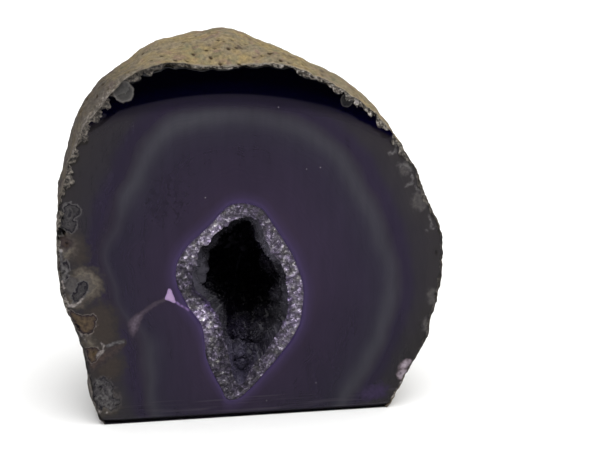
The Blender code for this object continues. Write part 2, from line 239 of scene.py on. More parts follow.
# How wide the rind broke back from the saw cut, in mm, and how white the break is: (degrees, width, whiteness)
BROKEN_RIM = (
    (-180, 0.7, 0.7), (-175, 0.5, 0.8), (-168, 0.35, 0.25), (-150, 0.35, 0.15), (-60, 0.35, 0.15), (-45, 0.5, 0.5),
    (-38, 1, 0.9), (-31, 0.5, 0.4), (-20, 0.5, 0.3), (0, 0.8, 0.4), (10, 0.5, 0.3), (20, 0.9, 0.45), (30, 0.8, 0.4),
    (38, 0.9, 0.55), (45, 1.3, 0.85), (60, 1.4, 1), (74, 1, 1.1), (84, 0.55, 1.2), (97, 0.5, 1), (104, 0.9, 0.55),
    (118, 1.7, 0.5), (135, 1.9, 0.6), (148, 1.5, 0.6), (158, 0.8, 0.5), (168, 0.5, 0.5), (180, 0.7, 0.7),
)
BREAK_SIZES = ((1.2, 4.5), (1.3, 1.8))
LEAST_BREAK = 0.12
BREAK_SOFTNESS = 0.45
BREAK_DEPTH = 0.35
BREAK_CRUMBS = ((0.7, 1.7),)
# On the right the rim itself is the edge that shows, and the rind behind it stays this far inside it
GIRTH_INSET = 0.9
GIRTH_DEPTH_AT_SIDES = 5.0
GIRTH_DEPTH_AT_TOP = 18.0
# Lumps, knobs and dents of the rind: (height, width), and (u, v, depth, radius, how deep it is)
LUMPS = ((1.8, 27), (0.8, 11), (0.3, 6))
RIND_KNOBS = (1.4, 15.0)
DENTS = (
    (-52, 60, 26, 12, 2.5), (15, 80, 52, 15, 3), (56, 38, 26, 12, 2.2),
    (-24, 22, 56, 13, 2.6), (-22, 104, 34, 9, 1.8), (-54, 40, 18, 11, 1.8),
    (49, 6, 16, 11, 2), (-35, 105, 18, 9, 1.6),
)
LUMPS_START = 9.0
# Its grain, which starts right at the rim: (height, width). Its pits: how many, how wide and how deep. None is
# narrower than the points there are apart, times PIT_SPACING, and none reaches further than PIT_ROWS rows
GRAIN = ((0.34, 3.4), (0.22, 1.5))
GRAIN_START = 1.6
PITS = 1050
PIT_RADIUS = (0.4, 1.1)
PIT_DEPTH = 0.8
PIT_SPACING = 0.8
PIT_ROWS = 6
PIT_SEED = 5
# The face: domed towards the top, rounded at its edge and ground away at its foot
DOME_CENTRE = (-7.0, 0.0)
DOME_START = 93.5
DOME_RADIUS = 59.0
# Painted shade and painted dark reflection over its top, past two arcs: this far from the dome's centre, and this far
# from a centre well below the face
CRESCENT_SHADE_RADIUS = 97.2
TOP_SHADE_CENTRE = (-9.0, -106.8)
TOP_SHADE_RADIUS = 200.0
EDGE_ROUNDING_WIDTH = 5.0
EDGE_ROUNDING = 0.4
FOOT_STRIP = 4.8
FOOT_STRIP_ANGLE = math.radians(6.0)
FOOT_BEVEL = 0.7
# Nicks and chips in the rim: (height, width) of three sizes, how much lower they are where they stand out, and how
# soon they fade behind the rim. Holes in it: (u, v, radius, depth)
RIM_NICKS = ((0.55, 5), (0.6, 2.1), (0.45, 1))
OUTWARD_LOSS = 0.25
NICK_FADE = 1.2
HOLES = (
    (-52.3, 58.2, 1.1, 1.3), (-53.8, 56.6, 0.8, 1), (-49.8, 30.4, 0.7, 0.8),
    (-53.2, 58.6, 1.7, 1.8), (-51.5, 55.2, 1, 0.7), (-49.2, 29.6, 0.9, 1), (-52.6, 46.5, 0.8, 0.7),
    (-45, 21.5, 0.8, 0.6), (-43.4, 10.4, 1, 0.8), (-52.4, 62.6, 0.8, 0.8), (46.8, 9.2, 0.9, 0.7),
    (57.6, 47, 0.8, 0.6), (53, 24.6, 0.7, 0.6), (48.6, 74.6, 0.7, 0.6), (-39.6, 91.6, 0.8, 0.8),
)
# The points: SIDES of them all round, and their rings as shares of the way from the hollow to the rim, from the rim to
# the back's pole, and from the face into the hollow
SIDES = 560
CURVE_STEPS = 12
ANGLES = np.arange(SIDES) * 2 * math.pi / SIDES
FACE_STEPS = np.concatenate((np.linspace(0.0, 0.86, 40)[:-1], np.linspace(0.86, 1.0, 17)))
RIND_STEPS = np.concatenate((np.linspace(0.0, 0.34, 68)[:-1], np.linspace(0.34, 0.992, 74)))
HOLLOW_STEPS = (0.15, 0.35, 0.6, 0.85)
HOLLOW_DEPTH = 40.0
HOLLOW_POLE = np.array((2.0, 42.0))
BOWL_BLUNTNESS = 0.7


def smooth_step(value):
    t = np.clip(value, 0.0, 1.0)
    return t * t * (3 - 2 * t)


def smooth_outline(points):
    """A dense closed curve through the points, with no corners."""
    p = np.array(points)
    before, after, beyond = (np.roll(p, shift, axis=0) for shift in (1, -1, -2))
    t = np.repeat(np.arange(CURVE_STEPS) / CURVE_STEPS, 2).reshape(1, -1, 2)
    p, before, after, beyond = (side[:, None, :] for side in (p, before, after, beyond))
    curve = 0.5 * (2 * p + (after - before) * t + (2 * before - 5 * p + 4 * after - beyond) * t ** 2
                   + (3 * p - before - 3 * after + beyond) * t ** 3)
    return curve.reshape(-1, 2)


def reach(outline, angles, inset=0.0):
    """The distance from the hub to a smooth outline, moved in by the inset, at each angle."""
    curve = smooth_outline(outline)
    along = np.roll(curve, -1, axis=0) - np.roll(curve, 1, axis=0)
    inward = np.column_stack((-along[:, 1], along[:, 0])) / np.hypot(along[:, 0], along[:, 1])[:, None]
    spokes = curve + inward * inset - HUB
    around = np.arctan2(spokes[:, 1], spokes[:, 0])
    return np.interp(angles, around, np.hypot(spokes[:, 0], spokes[:, 1]), period=2 * math.pi)


def on_rays(angles, radii, centre=HUB):
    """Points of the face at these radii from a centre, as rows of (u, v)."""
    return centre + np.column_stack((np.cos(angles), np.sin(angles))) * np.reshape(radii, (-1, 1))


def face_depth(flat, from_edge):
    """How far the polished surface lies behind the flat of the cut."""
    beyond = np.hypot(flat[:, 0] - DOME_CENTRE[0], flat[:, 1] - DOME_CENTRE[1]) - DOME_START
    depth = np.maximum(0.0, beyond) ** 2 / (2 * DOME_RADIUS)
    depth += EDGE_ROUNDING * np.maximum(0.0, 1 - from_edge / EDGE_ROUNDING_WIDTH) ** 2
    depth += FOOT_BEVEL * np.clip(-flat[:, 1], 0.0, 2.0)
    return depth + math.tan(FOOT_STRIP_ANGLE) * np.maximum(0.0, FOOT_STRIP - flat[:, 1])


def bowl_ring(angles, turn, radii, depth, pole):
    """One ring of a bowl that starts square to the face and closes at its pole."""
    close = math.cos(turn) ** BOWL_BLUNTNESS
    flat = on_rays(angles, radii * close, HUB + (pole - HUB) * (1 - close))
    return np.column_stack((flat, np.full(len(flat), depth * math.sin(turn))))


def stand_up(laid_out):
    """Rows of (u, v, depth) in mm as places in the room, in metres."""
    u, v, depth = laid_out.T
    places = np.column_stack((
        u, v * math.sin(LEAN) + depth * math.cos(LEAN), v * math.cos(LEAN) - depth * math.sin(LEAN)
    ))
    return (places + np.array(FACE_FOOT)) * MM


def bridge(low, high, sides):
    """Four-sided faces between two rings of points, given the number of each ring's first point."""
    return [(low + step, low + (step + 1) % sides, high + (step + 1) % sides, high + step) for step in range(sides)]


def close_up(ring, tip, sides):
    """Three-sided faces from a ring of points to a tip."""
    return [(ring + step, ring + (step + 1) % sides, tip) for step in range(sides)]


def rise_at(point, sizes):
    """The sum of the noises of these (height, width) sizes at a point."""
    return sum(height * noise.noise(point / width) for height, width in sizes)


def rises(points, sizes):
    """The same for each of many points."""
    return np.array([rise_at(point, sizes) for point in points])


def by_angle(table, column, angles=ANGLES):
    """One column of a table by direction, at these angles round the hub."""
    wrapped = (angles + math.pi) % (2 * math.pi) - math.pi
    return np.interp(wrapped, np.radians([row[0] for row in table]), [row[column] for row in table])


rim_reach, girth_reach = reach(RIM, ANGLES), reach(GIRTH, ANGLES)
girth_reach -= GIRTH_INSET * np.maximum(0.0, np.cos(ANGLES))
hollow_reach, band_reach = reach(HOLLOW, ANGLES), reach(GREY_BAND, ANGLES)
rim_points = [Vector((*flat, 0.0)) for flat in on_rays(ANGLES, rim_reach)]
nicks = rises(rim_points, RIM_NICKS)
nicks -= OUTWARD_LOSS * np.maximum(0.0, nicks)
outer = rim_reach + nicks
unevenness = rises([point + Vector((0, 0, 9)) for point in rim_points], BREAK_SIZES)
broken_width = np.maximum(LEAST_BREAK, by_angle(BROKEN_RIM, 1) * (1.0 + unevenness))

laid_rings, levels, off_band, off_ring, broken_rings, hole_rings, behind_rim = [], [], [], [], [], [], []
for step in FACE_STEPS:
    radius = hollow_reach + (outer - hollow_reach) * step
    flat = on_rays(ANGLES, radius)
    depth = face_depth(flat, outer - radius)
    broken = smooth_step((broken_width - (outer - radius)) / BREAK_SOFTNESS + 0.5)
    if broken.any():
        depth += broken * (BREAK_DEPTH + rises([Vector((*place, 7.0)) for place in flat], BREAK_CRUMBS))
    hole = np.zeros(SIDES)
    for u, v, size, deep in HOLES:
        inside_hole = 1 - smooth_step(np.hypot(flat[:, 0] - u, flat[:, 1] - v) / size)
        depth += deep * inside_hole
        hole = np.maximum(hole, inside_hole * deep)
    laid_rings.append(np.column_stack((flat, depth)))
    levels.append(np.where(radius < band_reach, (radius - hollow_reach) / (band_reach - hollow_reach),
                           1 + (radius - band_reach) / (outer - band_reach)))
    off_band.append(radius - band_reach)
    off_ring.append(radius - hollow_reach)
    broken_rings.append(broken)
    hole_rings.append(hole)
face_rings = len(laid_rings)

towards_top = np.maximum(0.0, np.cos(ANGLES - math.pi / 2)) ** 1.6
widest = GIRTH_DEPTH_AT_SIDES + (GIRTH_DEPTH_AT_TOP - GIRTH_DEPTH_AT_SIDES) * towards_top
half = STONE_DEPTH - widest
start = -np.arcsin(widest / half)
rounder_reach = np.mean([np.roll(girth_reach, shift) for shift in range(-BACK_ROUNDING, BACK_ROUNDING + 1)], axis=0)
heart = Vector((HUB[0], BACK_POLE[1], STONE_DEPTH / 3))
last_smooth = np.column_stack((on_rays(ANGLES, rim_reach), np.zeros(SIDES)))
gone = np.zeros(SIDES)
for share in RIND_STEPS[1:]:
    turn = start + share * (math.pi / 2 - start)
    close = np.cos(turn)
    front = turn < 0
    radius = np.where(
        front, rim_reach + (girth_reach - rim_reach) * (close - np.cos(start)) / (1 - np.cos(start)),
        (girth_reach + (rounder_reach - girth_reach) * np.minimum(1, 2 * (1 - close))) * close,
    )
    centres = HUB + (BACK_POLE - HUB) * np.where(front, 0.0, 1 - close)[:, None]
    smooth = np.column_stack((
        on_rays(ANGLES, radius, centres), widest + half * np.sin(turn)
    ))
    gone = gone + np.linalg.norm(smooth - last_smooth, axis=1)
    last_smooth = smooth
    ring = []
    for place, nick, travelled in zip(smooth, nicks, gone):
        point = Vector(place)
        rise = rise_at(point, LUMPS) + RIND_KNOBS[0] * (0.3 - noise.voronoi(point / RIND_KNOBS[1])[0][0] ** 2)
        for u, v, depth, size, dent in DENTS:
            rise -= dent * float(smooth_step(1.3 - (point - Vector((u, v, depth))).length / size))
        rise *= float(smooth_step(point.z / LUMPS_START))
        rise += nick * math.exp(-travelled / NICK_FADE)
        rise += rise_at(point, GRAIN) * min(1.0, travelled / GRAIN_START)
        ring.append(point + (point - heart).normalized() * rise)
    laid_rings.append(np.array(ring))
    behind_rim.append(-gone)

# Pits, at random places all over the rind, and equally many on each patch of the same size
rind_grid = np.array(laid_rings[face_rings:])
down = np.gradient(rind_grid, axis=0)
along = (np.roll(rind_grid, -1, axis=1) - np.roll(rind_grid, 1, axis=1)) / 2
patch_areas = np.linalg.norm(np.cross(down, along), axis=2)
rng = random.Random(PIT_SEED)
pits = np.zeros(patch_areas.shape)
for number in rng.choices(range(pits.size), weights=patch_areas.ravel().tolist(), k=PITS):
    row, column = divmod(number, SIDES)
    size = max(rng.uniform(*PIT_RADIUS), PIT_SPACING * np.linalg.norm(down[row, column]))
    rows = slice(max(0, row - PIT_ROWS), row + PIT_ROWS + 1)
    away = np.linalg.norm(rind_grid[rows] - rind_grid[row, column], axis=2) / size
    pits[rows] = np.maximum(pits[rows], 1 - smooth_step(away))
towards_heart = np.array(heart) - rind_grid
towards_heart /= np.linalg.norm(towards_heart, axis=2)[:, :, None]
rind_grid += towards_heart * (PIT_DEPTH * pits)[:, :, None]
laid_rings[face_rings:] = list(rind_grid)

hollow_rings = [
    bowl_ring(ANGLES, step * math.pi / 2, hollow_reach, HOLLOW_DEPTH, HOLLOW_POLE) for step in HOLLOW_STEPS
]

AGATE, RIND, SAWN_BASE = 0, 1, 2
laid_out = np.vstack(laid_rings + hollow_rings + [[(*BACK_POLE, STONE_DEPTH)], [(*HOLLOW_POLE, HOLLOW_DEPTH)]])
ring_count = len(laid_rings)
stone_faces = []
for low in range(0, (ring_count - 1) * SIDES, SIDES):
    stone_faces += bridge(low, low + SIDES, SIDES)
stone_faces += close_up((ring_count - 1) * SIDES, len(laid_out) - 2, SIDES)
low = 0
for high in range(ring_count * SIDES, (ring_count + len(HOLLOW_STEPS)) * SIDES, SIDES):
    stone_faces += bridge(high, low, SIDES)
    low = high
stone_faces += close_up(low, len(laid_out) - 1, SIDES)
stone_slots = np.repeat((AGATE, RIND, AGATE), np.array((
    face_rings - 1, ring_count - face_rings + 1, len(HOLLOW_STEPS) + 1
)) * SIDES)

# The markings, as signed distances in mm (inside is positive) that the polish's shader draws with: mossy eyes with
# dark cores, ochre eyes, pale clouds round them, and the pink filling of the narrow canal that fed the hollow
DARK_EYES = (
    ((-52.5, 66.2), (-50.4, 67.1), (-47.9, 66.5), (-47.1, 65.2), (-47.4, 63.4), (-48.8, 62.3), (-48.1, 60),
     (-49.3, 58.4), (-51.4, 58.7), (-52.8, 59.9), (-53.1, 62.2), (-52.3, 64.4)),
    ((-53.3, 49.6), (-51.6, 49.8), (-50.7, 48.2), (-51.4, 46.7), (-53.2, 46.8)),
    ((-53.8, 46.3), (-52, 46.5), (-51.2, 44.9), (-52.2, 43.4), (-53.6, 43.5)),
    ((-48.9, 42.6), (-47.8, 43.6), (-46.1, 43.4), (-45.8, 41.3), (-46.9, 38.6), (-48.3, 37), (-49.9, 36.8),
     (-50.9, 38.3), (-50, 40.2)),
)
# Eyes with several pale rings
RINGED_EYES = (
    ((-45, 12.3), (-43, 13.2), (-40.9, 12.2), (-39.8, 10.4), (-39.6, 8.2), (-38.4, 6.6), (-38.3, 4.4),
     (-40, 3.3), (-42, 3.8), (-43.6, 3.4), (-45.2, 5.2), (-45.6, 8.6)),
)
OCHRE_EYES = (
    ((-51.7, 34.6), (-49.2, 33.6), (-47.1, 32.7), (-45.2, 33.6), (-43.8, 32.1), (-44, 29.8), (-45.4, 27.6),
     (-47.7, 27), (-49.4, 28.6), (-50.8, 31)),
    ((-47.2, 22.6), (-45.1, 23.1), (-43.1, 21.7), (-43.5, 19.6), (-45.6, 18.2), (-47, 19.8)),
)
PALE_CLOUDS = (
    ((-50.3, 46), (-48.7, 47.4), (-46.4, 47.4), (-43.7, 46.2), (-41.9, 43), (-42.1, 40.2), (-44.4, 38.1),
     (-46.5, 37.3), (-47.9, 35.7), (-50.2, 35.6), (-52, 37.2), (-52.2, 41), (-51.1, 44.2)),
    ((-54.1, 58.3), (-52.1, 58.5), (-49.8, 57.2), (-48.8, 55.1), (-49.2, 52.1), (-51.3, 50.4), (-53.9, 50.5),
     (-54.3, 54.4)),
    ((-48, 26.7), (-45.9, 26.2), (-44.5, 24.6), (-43.7, 22.7), (-45.7, 22.2), (-47.7, 23.9)),
    ((-45.3, 11), (-42.6, 11.7), (-40, 10), (-38.4, 6.5), (-38.5, 3), (-41.5, 1.9), (-44.4, 2.7),
     (-45.5, 6.6)),
)
BROWN_FEEDER = (
    ((-53.4, 56.4), (-52, 57), (-50.4, 56.2), (-50.1, 54.8), (-51.5, 53.7), (-53.3, 54.2)),
    ((-46.2, 16.6), (-46.7, 18.9), (-44, 20.6), (-40.7, 22.2), (-38.3, 23.6), (-35.7, 24.4), (-36.6, 22.6),
     (-39.7, 20), (-42.7, 18), (-44.8, 16.2)),
)
BROWN_GLOWS = (
    ((-49.3, 57), (-47.4, 56), (-46, 51.4), (-48, 48.6), (-50.2, 50.4)),
    ((-47, 33), (-42.5, 36), (-39, 33), (-38.5, 27), (-39.5, 22), (-37, 17), (-39.5, 13),
     (-44, 14), (-45.6, 19), (-46, 26)),
)
PINK_FILLING = (
    ((-22.2, 40.1), (-21.5, 39), (-20.5, 35.6), (-22.1, 36.1), (-23.5, 36.8), (-22.9, 38.5)),
)
PINK_PATCH = (
    ((-27.8, 35.1), (-29.2, 33.9), (-30.7, 33.1), (-32.2, 32.4), (-33.7, 30.8), (-34.7, 29.9), (-34.1, 28.3),
     (-33.8, 26.5), (-33.3, 25.8), (-32.3, 27.3), (-31.4, 29.4), (-30.4, 31.8), (-28.9, 33.3), (-27.7, 34.3)),
    ((-23.5, 37), (-25, 36.2), (-28, 35.1), (-27.8, 34.5), (-25.6, 35.5), (-23.5, 36.4)),
)
VIOLET_PATCHES = (
    ((34.6, 3), (36.6, 4.6), (39.8, 5.6), (42, 4.8), (41.4, 3.2), (37.6, 2.4)),
)
LILAC_SPARS = (
    ((47.3, 13.2), (49.9, 13.3), (49.9, 11.8), (48.4, 10.7), (46.5, 11.2)),
    ((46, 9.9), (47.6, 11), (49.4, 10.4), (49.1, 8.8), (47.6, 7.2), (46.2, 7.9)),
)
SOFT_DISCS = (
    ((-52, 43.6), (-50.2, 44.3), (-49.2, 42.9), (-49.9, 40.6), (-51.6, 40.4)),
    ((51.2, 65), (53.1, 65), (54.5, 63.2), (54.3, 61), (52.6, 60.1), (50.8, 61.2), (50.2, 63.4)),
    ((55.8, 35.4), (57.6, 35), (57.8, 31.6), (56.2, 31), (55.2, 33.4)),
    ((53.9, 26.2), (55.1, 26.2), (55.4, 22.8), (54, 22.6)),
    ((46.2, 74.2), (48.4, 74.6), (49.6, 73), (48.9, 71.2), (47.2, 71.8)),
)
# Fine veins as lines: (half their width, their points)
GREY_VEINS = (
    (0.3, ((45.4, 81), (45.5, 79.5), (45, 78.2), (43.3, 77.6))),
    (0.3, ((46.4, 73.2), (47.5, 74), (49, 73.7))),
    (0.28, ((49.6, 73), (50.3, 70.9), (50.3, 68.8), (48.1, 67.5))),
    (0.25, ((50.6, 68.1), (52.9, 65.4))),
    (0.25, ((55.5, 58), (56.1, 56), (55.8, 54.1), (54.6, 53.8))),
    (0.2, ((56.1, 54.1), (57.9, 53.6))),
    (0.45, ((-53.5, 52.1), (-53.2, 50.5), (-53.5, 49), (-52.7, 47.6), (-51.7, 47), (-52.1, 45.6), (-53.1, 45.1),
            (-52.4, 43.7))),
    (0.3, ((-41.3, 23.3), (-38.9, 23.9), (-36.3, 24.2))),
    (0.4, ((-44.4, 12.6), (-42.6, 11.5), (-41.2, 10.2), (-40.4, 8.3))),
    (0.35, ((-44.7, 10.1), (-43, 9.4), (-41.9, 7.4), (-42.5, 5.9))),
    (0.4, ((-43.4, 7.8), (-41.4, 5.8), (-39.3, 5.1))),
    (0.4, ((-44.9, 7), (-43.2, 5.3), (-40.8, 3.9))),
)
PALE_VEINS = (
    (0.22, ((-53.2, 43.6), (-52.8, 41.1), (-52.5, 38.7), (-51.9, 36.2))),
    (0.35, ((-52.3, 36), (-50.3, 36.2), (-48.4, 37.1), (-47.1, 38.8))),
    (0.25, ((-48.9, 27.7), (-47.9, 26.5), (-47, 24.9))),
    (0.35, ((-44.4, 3.2), (-43.3, 2.3), (-41.9, 2.4))),
    (0.35, ((-42.7, 24.3), (-41.9, 23))),
    (0.4, ((-44.2, 19.9), (-43.2, 20.9), (-42.3, 22.1))),
)
PINK_TAIL = ((0.22, ((-21.2, 36.3), (-19.0, 34.6), (-16.6, 33.0))),)
# In the order that they are drawn: how far an outline wobbles, how soft its edge is and how far in its colours run,
# all in mm, how mottled it is, and its colours from the edge inwards
MARKINGS = (
    ("glow", BROWN_GLOWS, 2.5, 3, 1.5, 0.15, ((0, "#292625"), (0.6, "#2a2622"), (1, "#312b24"))),
    ("cloud", PALE_CLOUDS, 2, 1.9, 2.2, 0.35, (
        (0, "#292725"), (0.4, "#35312b"), (0.7, "#4a443b"), (0.9, "#595349"), (1, "#4c4740")
    )),
    ("feeder", BROWN_FEEDER, 1.4, 1.2, 2, 0.4, ((0, "#282525"), (0.5, "#302926"), (0.8, "#3a302a"), (1, "#332b27"))),
    ("soft", SOFT_DISCS, 1.6, 1.3, 1, 0.4, ((0, "#292828"), (0.5, "#393736"), (0.8, "#464340"), (1, "#403e3c"))),
    ("eye", DARK_EYES, 1.3, 0.4, 2.2, 0.6, (
        (0, "#343333"), (0.13, "#504e4d"), (0.22, "#393736"), (0.3, "#161616"), (0.42, "#1e1d1d"),
        (0.55, "#363433"), (0.68, "#292827"), (0.8, "#413f3d"), (0.9, "#272626"), (1, "#232223")
    )),
    ("ringed", RINGED_EYES, 2.2, 1.2, 2.6, 0.8, (
        (0, "#2b2928"), (0.16, "#454343"), (0.26, "#2c2a29"), (0.4, "#1d1c1d"), (0.52, "#403e3e"),
        (0.6, "#252424"), (0.75, "#393737"), (1, "#1d1c1d")
    )),
    ("ochre", OCHRE_EYES, 1.2, 0.4, 2.2, 0.6, (
        (0, "#3f3a36"), (0.13, "#625b55"), (0.22, "#1c1614"), (0.34, "#2f2621"), (0.55, "#423729"),
        (0.8, "#4a3e2c"), (1, "#3c3226")
    )),
    ("patch", PINK_PATCH, 0.6, 0.8, 0.9, 0.45, ((0, "#292329"), (0.6, "#3a323b"), (1, "#4f464f"))),
    ("tail", PINK_TAIL, 0.2, 0.35, 0.1, 0, ((0, "#3a2f47"), (0.6, "#57456a"), (1, "#6f5a84"))),
    ("pink", PINK_FILLING, 0.2, 0.15, 0.5, 0.1, ((0, "#68557a"), (0.3, "#8f779d"), (1, "#a089ab"))),
    ("violet", VIOLET_PATCHES, 2.4, 2.4, 1.6, 0.3, ((0, "#231e2d"), (1, "#31273f"))),
    ("spar", LILAC_SPARS, 1, 0.6, 0.9, 0.45, ((0, "#3f3638"), (0.4, "#5d5358"), (0.75, "#80757c"), (1, "#8c828a"))),
    ("grey_vein", GREY_VEINS, 1.1, 0.5, 0.3, 0.8, ((0, "#2a2929"), (0.5, "#3b3938"), (1, "#4f4d4c"))),
    ("pale_vein", PALE_VEINS, 1.1, 0.35, 0.3, 0.7, ((0, "#312f2e"), (0.5, "#524d4a"), (1, "#7b7571"))),
)
# Round agate discs seen flat on, and specks: (u, v, radius). And how strongly each of the discs shows
PALE_DISCS = ((-33.5, 98.9, 3.05), (31, 93.9, 2))
DISC_STRENGTHS = (0.95, 0.3)
TINY_SPECKS = (
    (-38.2, 98.8, 1), (33.9, 93.1, 0.8), (10.9, 92.8, 0.17), (23, 74.4, 0.2), (18.9, 74.1, 0.16),
    (-10.9, 66.9, 0.2), (-53.2, 52.9, 0.6), (47, 6.3, 0.45), (21, 8, 0.16), (6, 3.2, 0.16),
)
# A cloud of dark specks: (u, v, radius)
SPECKLED = (-22, 66.6, 9.5)
FAR_OUTSIDE = -60.0


def inside_by(flat, shapes):
    """How far each point lies inside the nearest of these outlines or veins, in mm. Outside is negative."""
    deepest = np.full(len(flat), FAR_OUTSIDE)
    for shape in shapes:
        vein = isinstance(shape[0], float)
        corners = np.array(shape[1] if vein else shape)
        if not vein and len(corners) > 4:
            corners = smooth_outline(corners)
        nearest = np.full(len(flat), np.inf)
        crossings = np.zeros(len(flat), int)
        for first, second in zip(corners, corners[1:] if vein else np.roll(corners, -1, axis=0)):
            side = second - first
            offset = flat - first
            share = np.clip(offset @ side / max(side @ side, 1e-9), 0.0, 1.0)
            nearest = np.minimum(nearest, np.hypot(*(offset - share[:, None] * side).T))
            straddles = (first[1] > flat[:, 1]) != (second[1] > flat[:, 1])
            rise = side[1] if abs(side[1]) > 1e-9 else 1e-9
            crossings += straddles & (flat[:, 0] < first[0] + (flat[:, 1] - first[1]) / rise * side[0])
        inside = shape[0] - nearest if vein else np.where(crossings % 2 == 1, nearest, -nearest)
        deepest = np.maximum(deepest, inside)
    return deepest


def on_all(parts, elsewhere):
    """Numbers for the stone's first points, and one for all the rest."""
    known = np.concatenate(parts)
    return np.concatenate((known, np.full(len(laid_out) - len(known), elsewhere)))


flat_face = laid_out[:face_rings * SIDES, :2]
on_face = np.zeros(len(flat_face))
# The numbers that the materials read at each point: how far out it is (0 at the quartz, 1 at the grey band, 2 at the
# rim), how many mm off the band, off the quartz and behind the rim (below 0), and how much pit, break and hole it has
stone_fields = {
    "level": on_all(levels, 2.0),
    "off_band": on_all(off_band, 40.0),
    "ring": on_all(off_ring, 40.0),
    "rim": on_all([on_face, *behind_rim], -90.0),
    "pit": on_all([on_face, pits.ravel()], 0.0),
    "broken": on_all(broken_rings, 0.0),
    "hole": on_all(hole_rings, 0.0),
    "chalk": on_all([by_angle(BROKEN_RIM, 2)] * ring_count, 0.0),
    "brow": np.hypot(*(laid_out[:, :2] - DOME_CENTRE).T) - CRESCENT_SHADE_RADIUS,
    "dusk": np.hypot(*(laid_out[:, :2] - TOP_SHADE_CENTRE).T) - TOP_SHADE_RADIUS,
}
for column, name in enumerate(("band", "width", "light"), 1):
    stone_fields[name] = on_all([by_angle(AGATE_TONES, column)] * ring_count, 1.0)
for name, shapes, *_ in MARKINGS:
    stone_fields[name] = on_all([inside_by(flat_face, shapes)], FAR_OUTSIDE)


def make_mesh(name, laid_out, faces, slots, fields):
    """A mesh of laid-out points, with its fields kept as numbers on its points."""
    mesh = bpy.data.meshes.new(name)
    mesh.from_pydata(stand_up(laid_out).tolist(), [], faces)
    mesh.polygons.foreach_set("material_index", slots)
    place = mesh.attributes.new("cut", "FLOAT_VECTOR", "POINT")
    place.data.foreach_set("vector", laid_out.astype(np.float32).ravel())
    for field, values in fields.items():
        mesh.attributes.new(field, "FLOAT", "POINT").data.foreach_set("value", values.astype(np.float32))
    return mesh


stone_mesh = make_mesh("stone", laid_out, stone_faces, stone_slots, stone_fields)
shape = bmesh.new()
shape.from_mesh(stone_mesh)
cut = bmesh.ops.bisect_plane(
    shape, geom=shape.verts[:] + shape.edges[:] + shape.faces[:], dist=0.1 * MM,
    plane_co=(0, 0, 0), plane_no=(0, 0, -1), clear_outer=True,
)["geom_cut"]
for vert in [part for part in cut if isinstance(part, bmesh.types.BMVert)]:
    vert.co.z = 0.0
base = bmesh.ops.triangle_fill(
    shape, edges=[part for part in cut if isinstance(part, bmesh.types.BMEdge)], use_beauty=True
)["geom"]
for face in [part for part in base if isinstance(part, bmesh.types.BMFace)]:
    face.material_index = SAWN_BASE
bmesh.ops.recalc_face_normals(shape, faces=shape.faces[:])
for edge in shape.edges:
    edge.smooth = len({face.material_index for face in edge.link_faces}) == 1
shape.to_mesh(stone_mesh)
shape.free()
for polygon in stone_mesh.polygons:
    polygon.use_smooth = True
stone = put_in_scene("agate_stone", stone_mesh)

# Polished agate: chalcedony in fine bands, dyed violet, with light passing a few mm into it, so it looks dark and
# deep under a hard gloss
polished_agate, add, shader = new_material("polished dyed agate")
place = add("Attribute", attribute_name="cut").outputs["Vector"]
field = {name: add("Attribute", attribute_name=name).outputs["Fac"] for name in stone_fields}
drift = spots(add, place, 9, 0.25, 0.75, -0.06, 0.06, Detail=2)
level = add("Math", field["level"], drift, operation="ADD")
half_level = add("Math", level, 0.5, operation="MULTIPLY")
# From the hollow outwards: reddish plum, plum, violet beyond the grey band, then olive and brown by the rind
body = add("ValToRGB", half_level, stops=(
    (0, "#2b2230"), (0.10, "#271f2f"), (0.28, "#241e2c"), (0.44, "#211d2a"), (0.56, "#252029"),
    (0.63, "#211b2b"), (0.69, "#221d2b"), (0.76, "#252326"), (0.9, "#282625"), (1, "#292725"),
))
light = add("Mix", 1, body, field["light"], blend_type="MULTIPLY")
off_band = add("Math", drift, 8, field["off_band"], operation="MULTIPLY_ADD")
off_band = add("Math", off_band, field["width"], operation="DIVIDE")
in_band = add("ValToRGB", add("MapRange", off_band, -3, 2), stops=(
    (0, 0), (0.3, 0.18), (0.44, 0.5), (0.55, 1), (0.65, 1), (0.76, 0.45), (0.9, 0),
))
in_band = add("Math", in_band, field["band"], operation="MULTIPLY")
body = add("Mix", in_band, light, "#343439")
# The fine bands, about 0.5 mm apart, which is coarser than the real ones
bands = add("TexNoise", W=level, Scale=42, Detail=3, noise_dimensions="1D")
bands = add("MapRange", bands, 0.2, 0.8, 0.93, 1.07)
body = add("Mix", 1, body, bands, blend_type="MULTIPLY")
# The dye took unevenly, in faint upright streaks
streaks = add("VectorMath", place, (1 / 2.5, 1 / 14, 1), operation="MULTIPLY")
streaks = spots(add, streaks, 1, 0.3, 0.7, 0.9, 1.1, Detail=4, Roughness=0.6)
body = add("Mix", 1, body, streaks, blend_type="MULTIPLY")
# Dye has gathered in the agate next to the quartz
halo = add("ValToRGB", add("MapRange", field["ring"], 0, 4), stops=((0, 0.85), (0.25, 0.7), (0.45, 0.32), (1, 0)))
body = add("Mix", halo, body, "#382d4e")
# Painted shade near the top of the face: the agate is darkened to blue-black in two arcs, standing in for the dark room
# that the domed polish reflects there
brow = add("ValToRGB", add("MapRange", field["brow"], -24, 6), stops=(
    (0, 1), (0.66, 1), (0.72, (0.9, 0.88, 0.93, 1)), (0.755, (0.66, 0.63, 0.74, 1)),
    (0.79, (0.34, 0.3, 0.46, 1)), (0.81, (0.03, 0.015, 0.36, 1)), (0.88, (0.02, 0.01, 0.3, 1)),
    (0.94, (0.012, 0.008, 0.08, 1)),
))
body = add("Mix", 1, body, brow, blend_type="MULTIPLY")
dusk = add("ValToRGB", add("MapRange", field["dusk"], -1.6, 3.4), stops=(
    (0, 1), (0.3, (0.82, 0.8, 0.84, 1)), (0.5, (0.55, 0.52, 0.62, 1)), (0.7, (0.42, 0.38, 0.52, 1)),
    (1, (0.38, 0.34, 0.5, 1)),
))
body = add("Mix", 1, body, dusk, blend_type="MULTIPLY")
